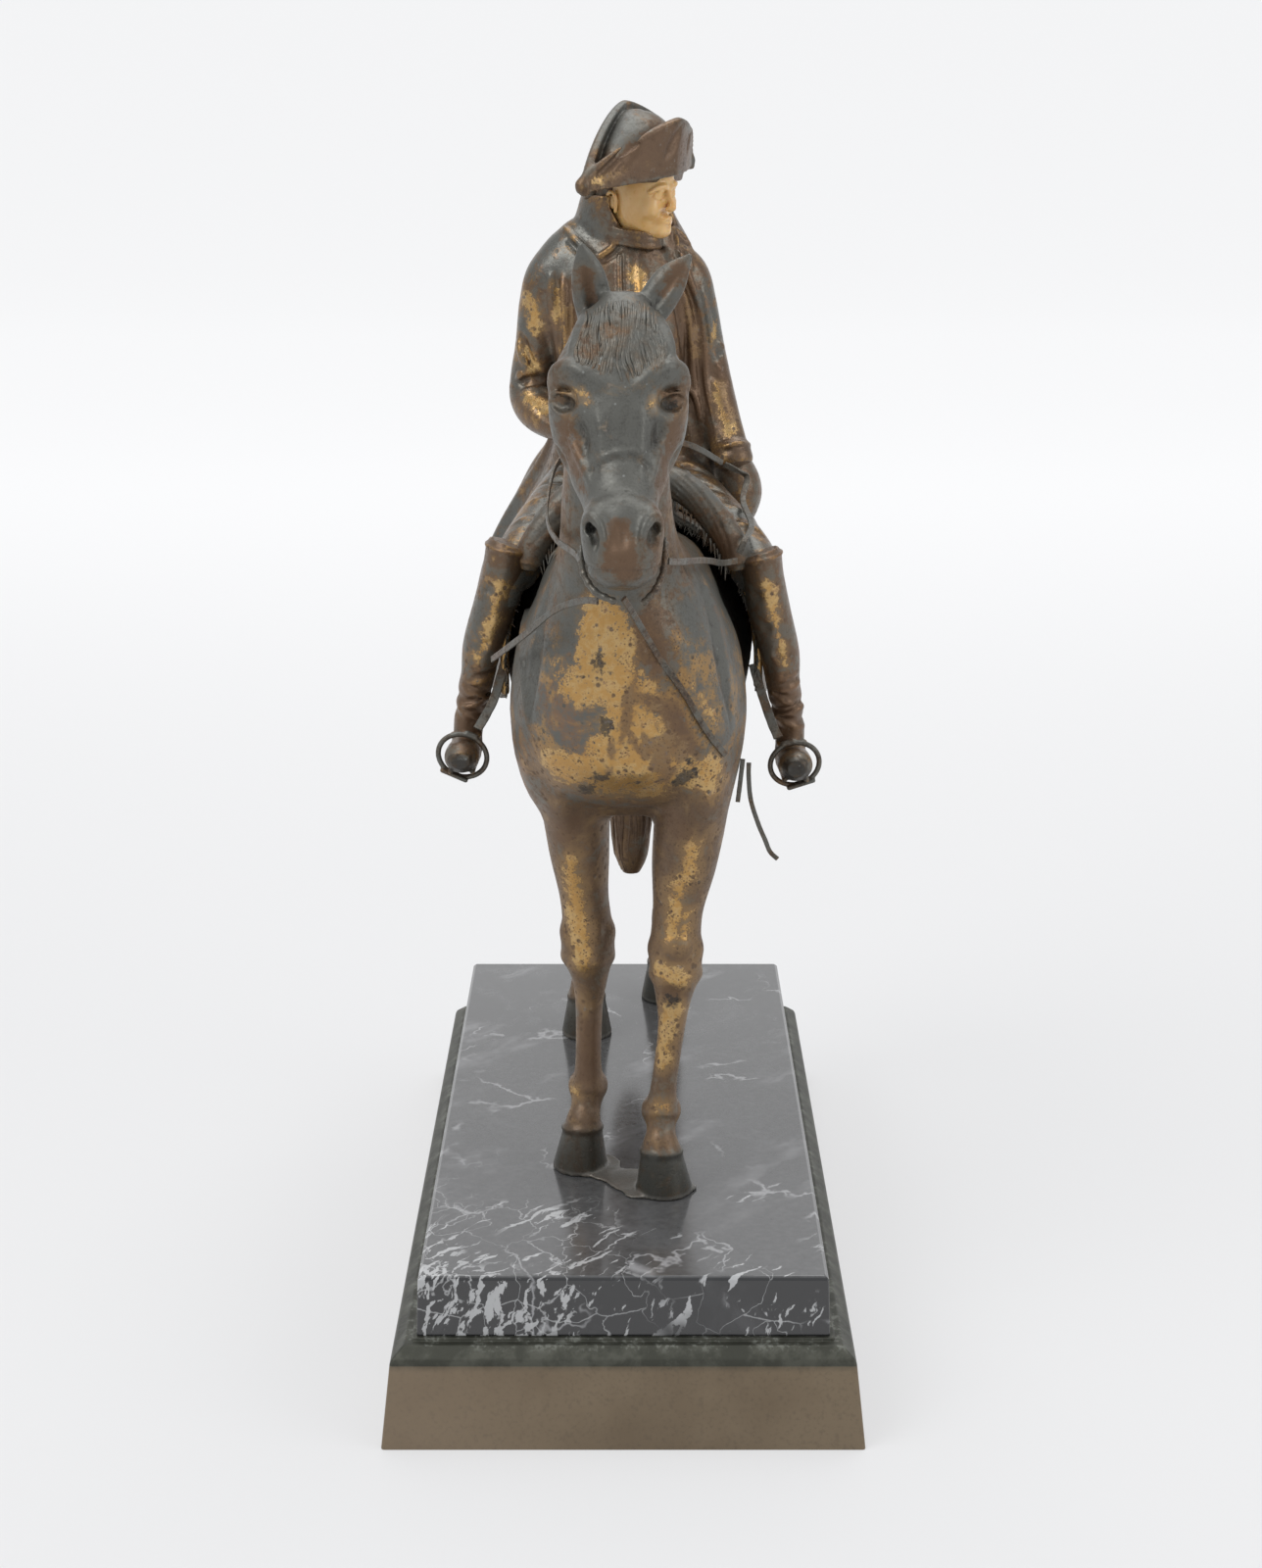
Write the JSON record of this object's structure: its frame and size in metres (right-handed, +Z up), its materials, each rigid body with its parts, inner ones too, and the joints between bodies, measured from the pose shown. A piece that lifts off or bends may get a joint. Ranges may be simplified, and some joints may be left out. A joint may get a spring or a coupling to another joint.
{
  "type": "equestrian statuette",
  "caption": "Rider in a greatcoat and a two-pointed hat on a standing horse, cast metal with an ivory-coloured face, on a marble slab over a metal plinth.",
  "frame": {"origin": "centre of the plinth's underside", "axes": "+Z up; the horse faces -Y, its left side towards +X"},
  "size_m": [0.12, 0.258, 0.3226],
  "materials": {
    "plinth_metal": "dull brown bronze patina",
    "marble": "polished black marble with white veins",
    "horse_metal": "worn gilt and brown-grey patina",
    "saddle_metal": "dark bronze patina",
    "rider_metal": "worn gilt and dark bronze patina",
    "ivory": "polished yellow ivory-like",
    "trim_metal": "dark grey-brown patina"
  },
  "bodies": {
    "root": {"plinth": "plinth_metal", "marble_slab": "marble", "horse": "horse_metal", "saddle_cloth": "saddle_metal", "rider": "rider_metal", "face": "ivory", "stirrup_left": "trim_metal", "stirrup_right": "trim_metal", "stirrup_leather_left": "trim_metal", "stirrup_leather_right": "trim_metal", "rein_right": "trim_metal", "rein_left": "trim_metal", "rein_left_front": "trim_metal", "rein_broken": "trim_metal", "breast_strap": "trim_metal", "strap_end": "trim_metal", "hanging_strap": "trim_metal", "bit_right": "trim_metal", "bit_left": "trim_metal"}
  },
  "joints": []
}
